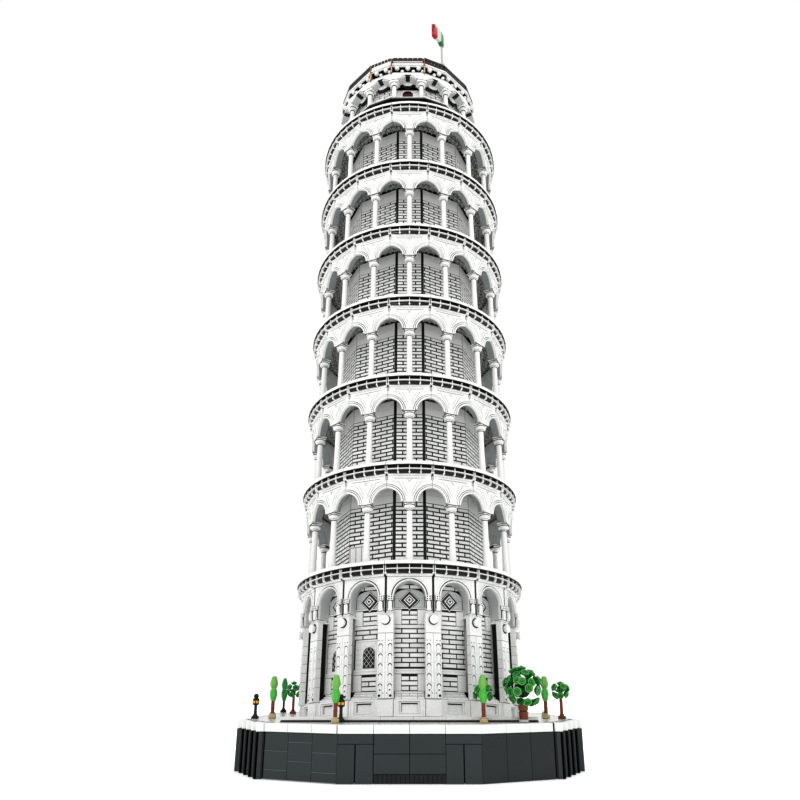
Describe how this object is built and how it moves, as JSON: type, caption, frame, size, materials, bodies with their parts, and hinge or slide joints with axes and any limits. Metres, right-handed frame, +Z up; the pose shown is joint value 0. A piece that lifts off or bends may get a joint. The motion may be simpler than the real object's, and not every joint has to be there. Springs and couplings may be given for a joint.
{
  "type": "miniature landmark model",
  "caption": "Leaning round bell tower with open column galleries and a flag, standing in a small garden on a stepped base, built up from toy building bricks.",
  "frame": {"origin": "centre of the base's underside", "axes": "+Z up, -Y is the front of the base, +X is the front's right-hand side; the tower leans towards +Y"},
  "size_m": [0.352, 0.4, 1.0806],
  "materials": {
    "white": "moulded gloss",
    "light_grey": "moulded gloss",
    "dark_grey": "moulded gloss",
    "black": "moulded gloss",
    "lime": "moulded gloss",
    "green": "moulded gloss",
    "brown": "moulded gloss",
    "flag_green": "moulded gloss"
  },
  "bodies": {
    "model": {"arcade_2": "white", "arcade_3": "white", "arcade_4": "white", "arcade_5": "white", "arcade_6": "white", "arcade_7": "white", "base_bottom_plate": "black", "base_paving": "light_grey", "base_rim": "white", "base_walls": "dark_grey", "big_tree_foliage": "green", "big_tree_trunk": "brown", "core_wall_2": "white", "core_wall_3": "white", "core_wall_4": "white", "core_wall_5": "white", "core_wall_6": "white", "core_wall_7": "white", "cornice_1": "white", "cornice_2": "white", "cornice_3": "white", "cornice_4": "white", "cornice_5": "white", "cornice_6": "white", "cornice_7": "white", "crown_arcade": "white", "crown_battlement": "black", "crown_deck": "light_grey", "crown_drum": "black", "crown_ledge": "white", "crown_parapet": "black", "crown_rail": "white", "crown_wall": "white", "cypress_front_left_trunk": "brown", "cypress_front_right_trunk": "brown", "cypress_left_trunk": "brown", "cypress_right_trunk": "brown", "dark_cypress": "green", "flag_mast": "light_grey", "foot_slab_lower": "black", "foot_slab_upper": "white", "front_panel": "dark_grey", "gallery_door": "light_grey", "ground_arcade": "white", "ground_wall": "white", "lamp_front": "black", "lamp_left": "black", "ledge_course": "white", "plinth_course": "white", "small_tree_back": "green", "small_tree_front": "green", "small_tree_right": "green", "tilt_cradle": "black", "window_far_left": "black", "window_left": "black"},
    "flag": {"flag": "flag_green"},
    "cypress_front_left_leaves": {"cypress_front_left_foliage": "lime"},
    "cypress_front_right_leaves": {"cypress_front_right_foliage": "lime"},
    "cypress_left_leaves": {"cypress_left_foliage": "lime"},
    "cypress_right_leaves": {"cypress_right_foliage": "lime"}
  },
  "joints": [
    {"name": "flag_swivel", "type": "hinge", "parent": "model", "child": "flag", "pos_m": [0.0513, -0.01435, 1.06214], "axis": [0, 0.0958, 0.9954], "continuous": true},
    {"name": "cypress_front_left_turn", "type": "hinge", "parent": "model", "child": "cypress_front_left_leaves", "pos_m": [-0.0694, -0.1695, 0.0743], "axis": [0, 0, 1], "continuous": true},
    {"name": "cypress_front_right_turn", "type": "hinge", "parent": "model", "child": "cypress_front_right_leaves", "pos_m": [0.0694, -0.1695, 0.0743], "axis": [0, 0, 1], "continuous": true},
    {"name": "cypress_left_turn", "type": "hinge", "parent": "model", "child": "cypress_left_leaves", "pos_m": [-0.146, -0.072, 0.0743], "axis": [0, 0, 1], "continuous": true},
    {"name": "cypress_right_turn", "type": "hinge", "parent": "model", "child": "cypress_right_leaves", "pos_m": [0.146, -0.069, 0.0743], "axis": [0, 0, 1], "continuous": true}
  ]
}
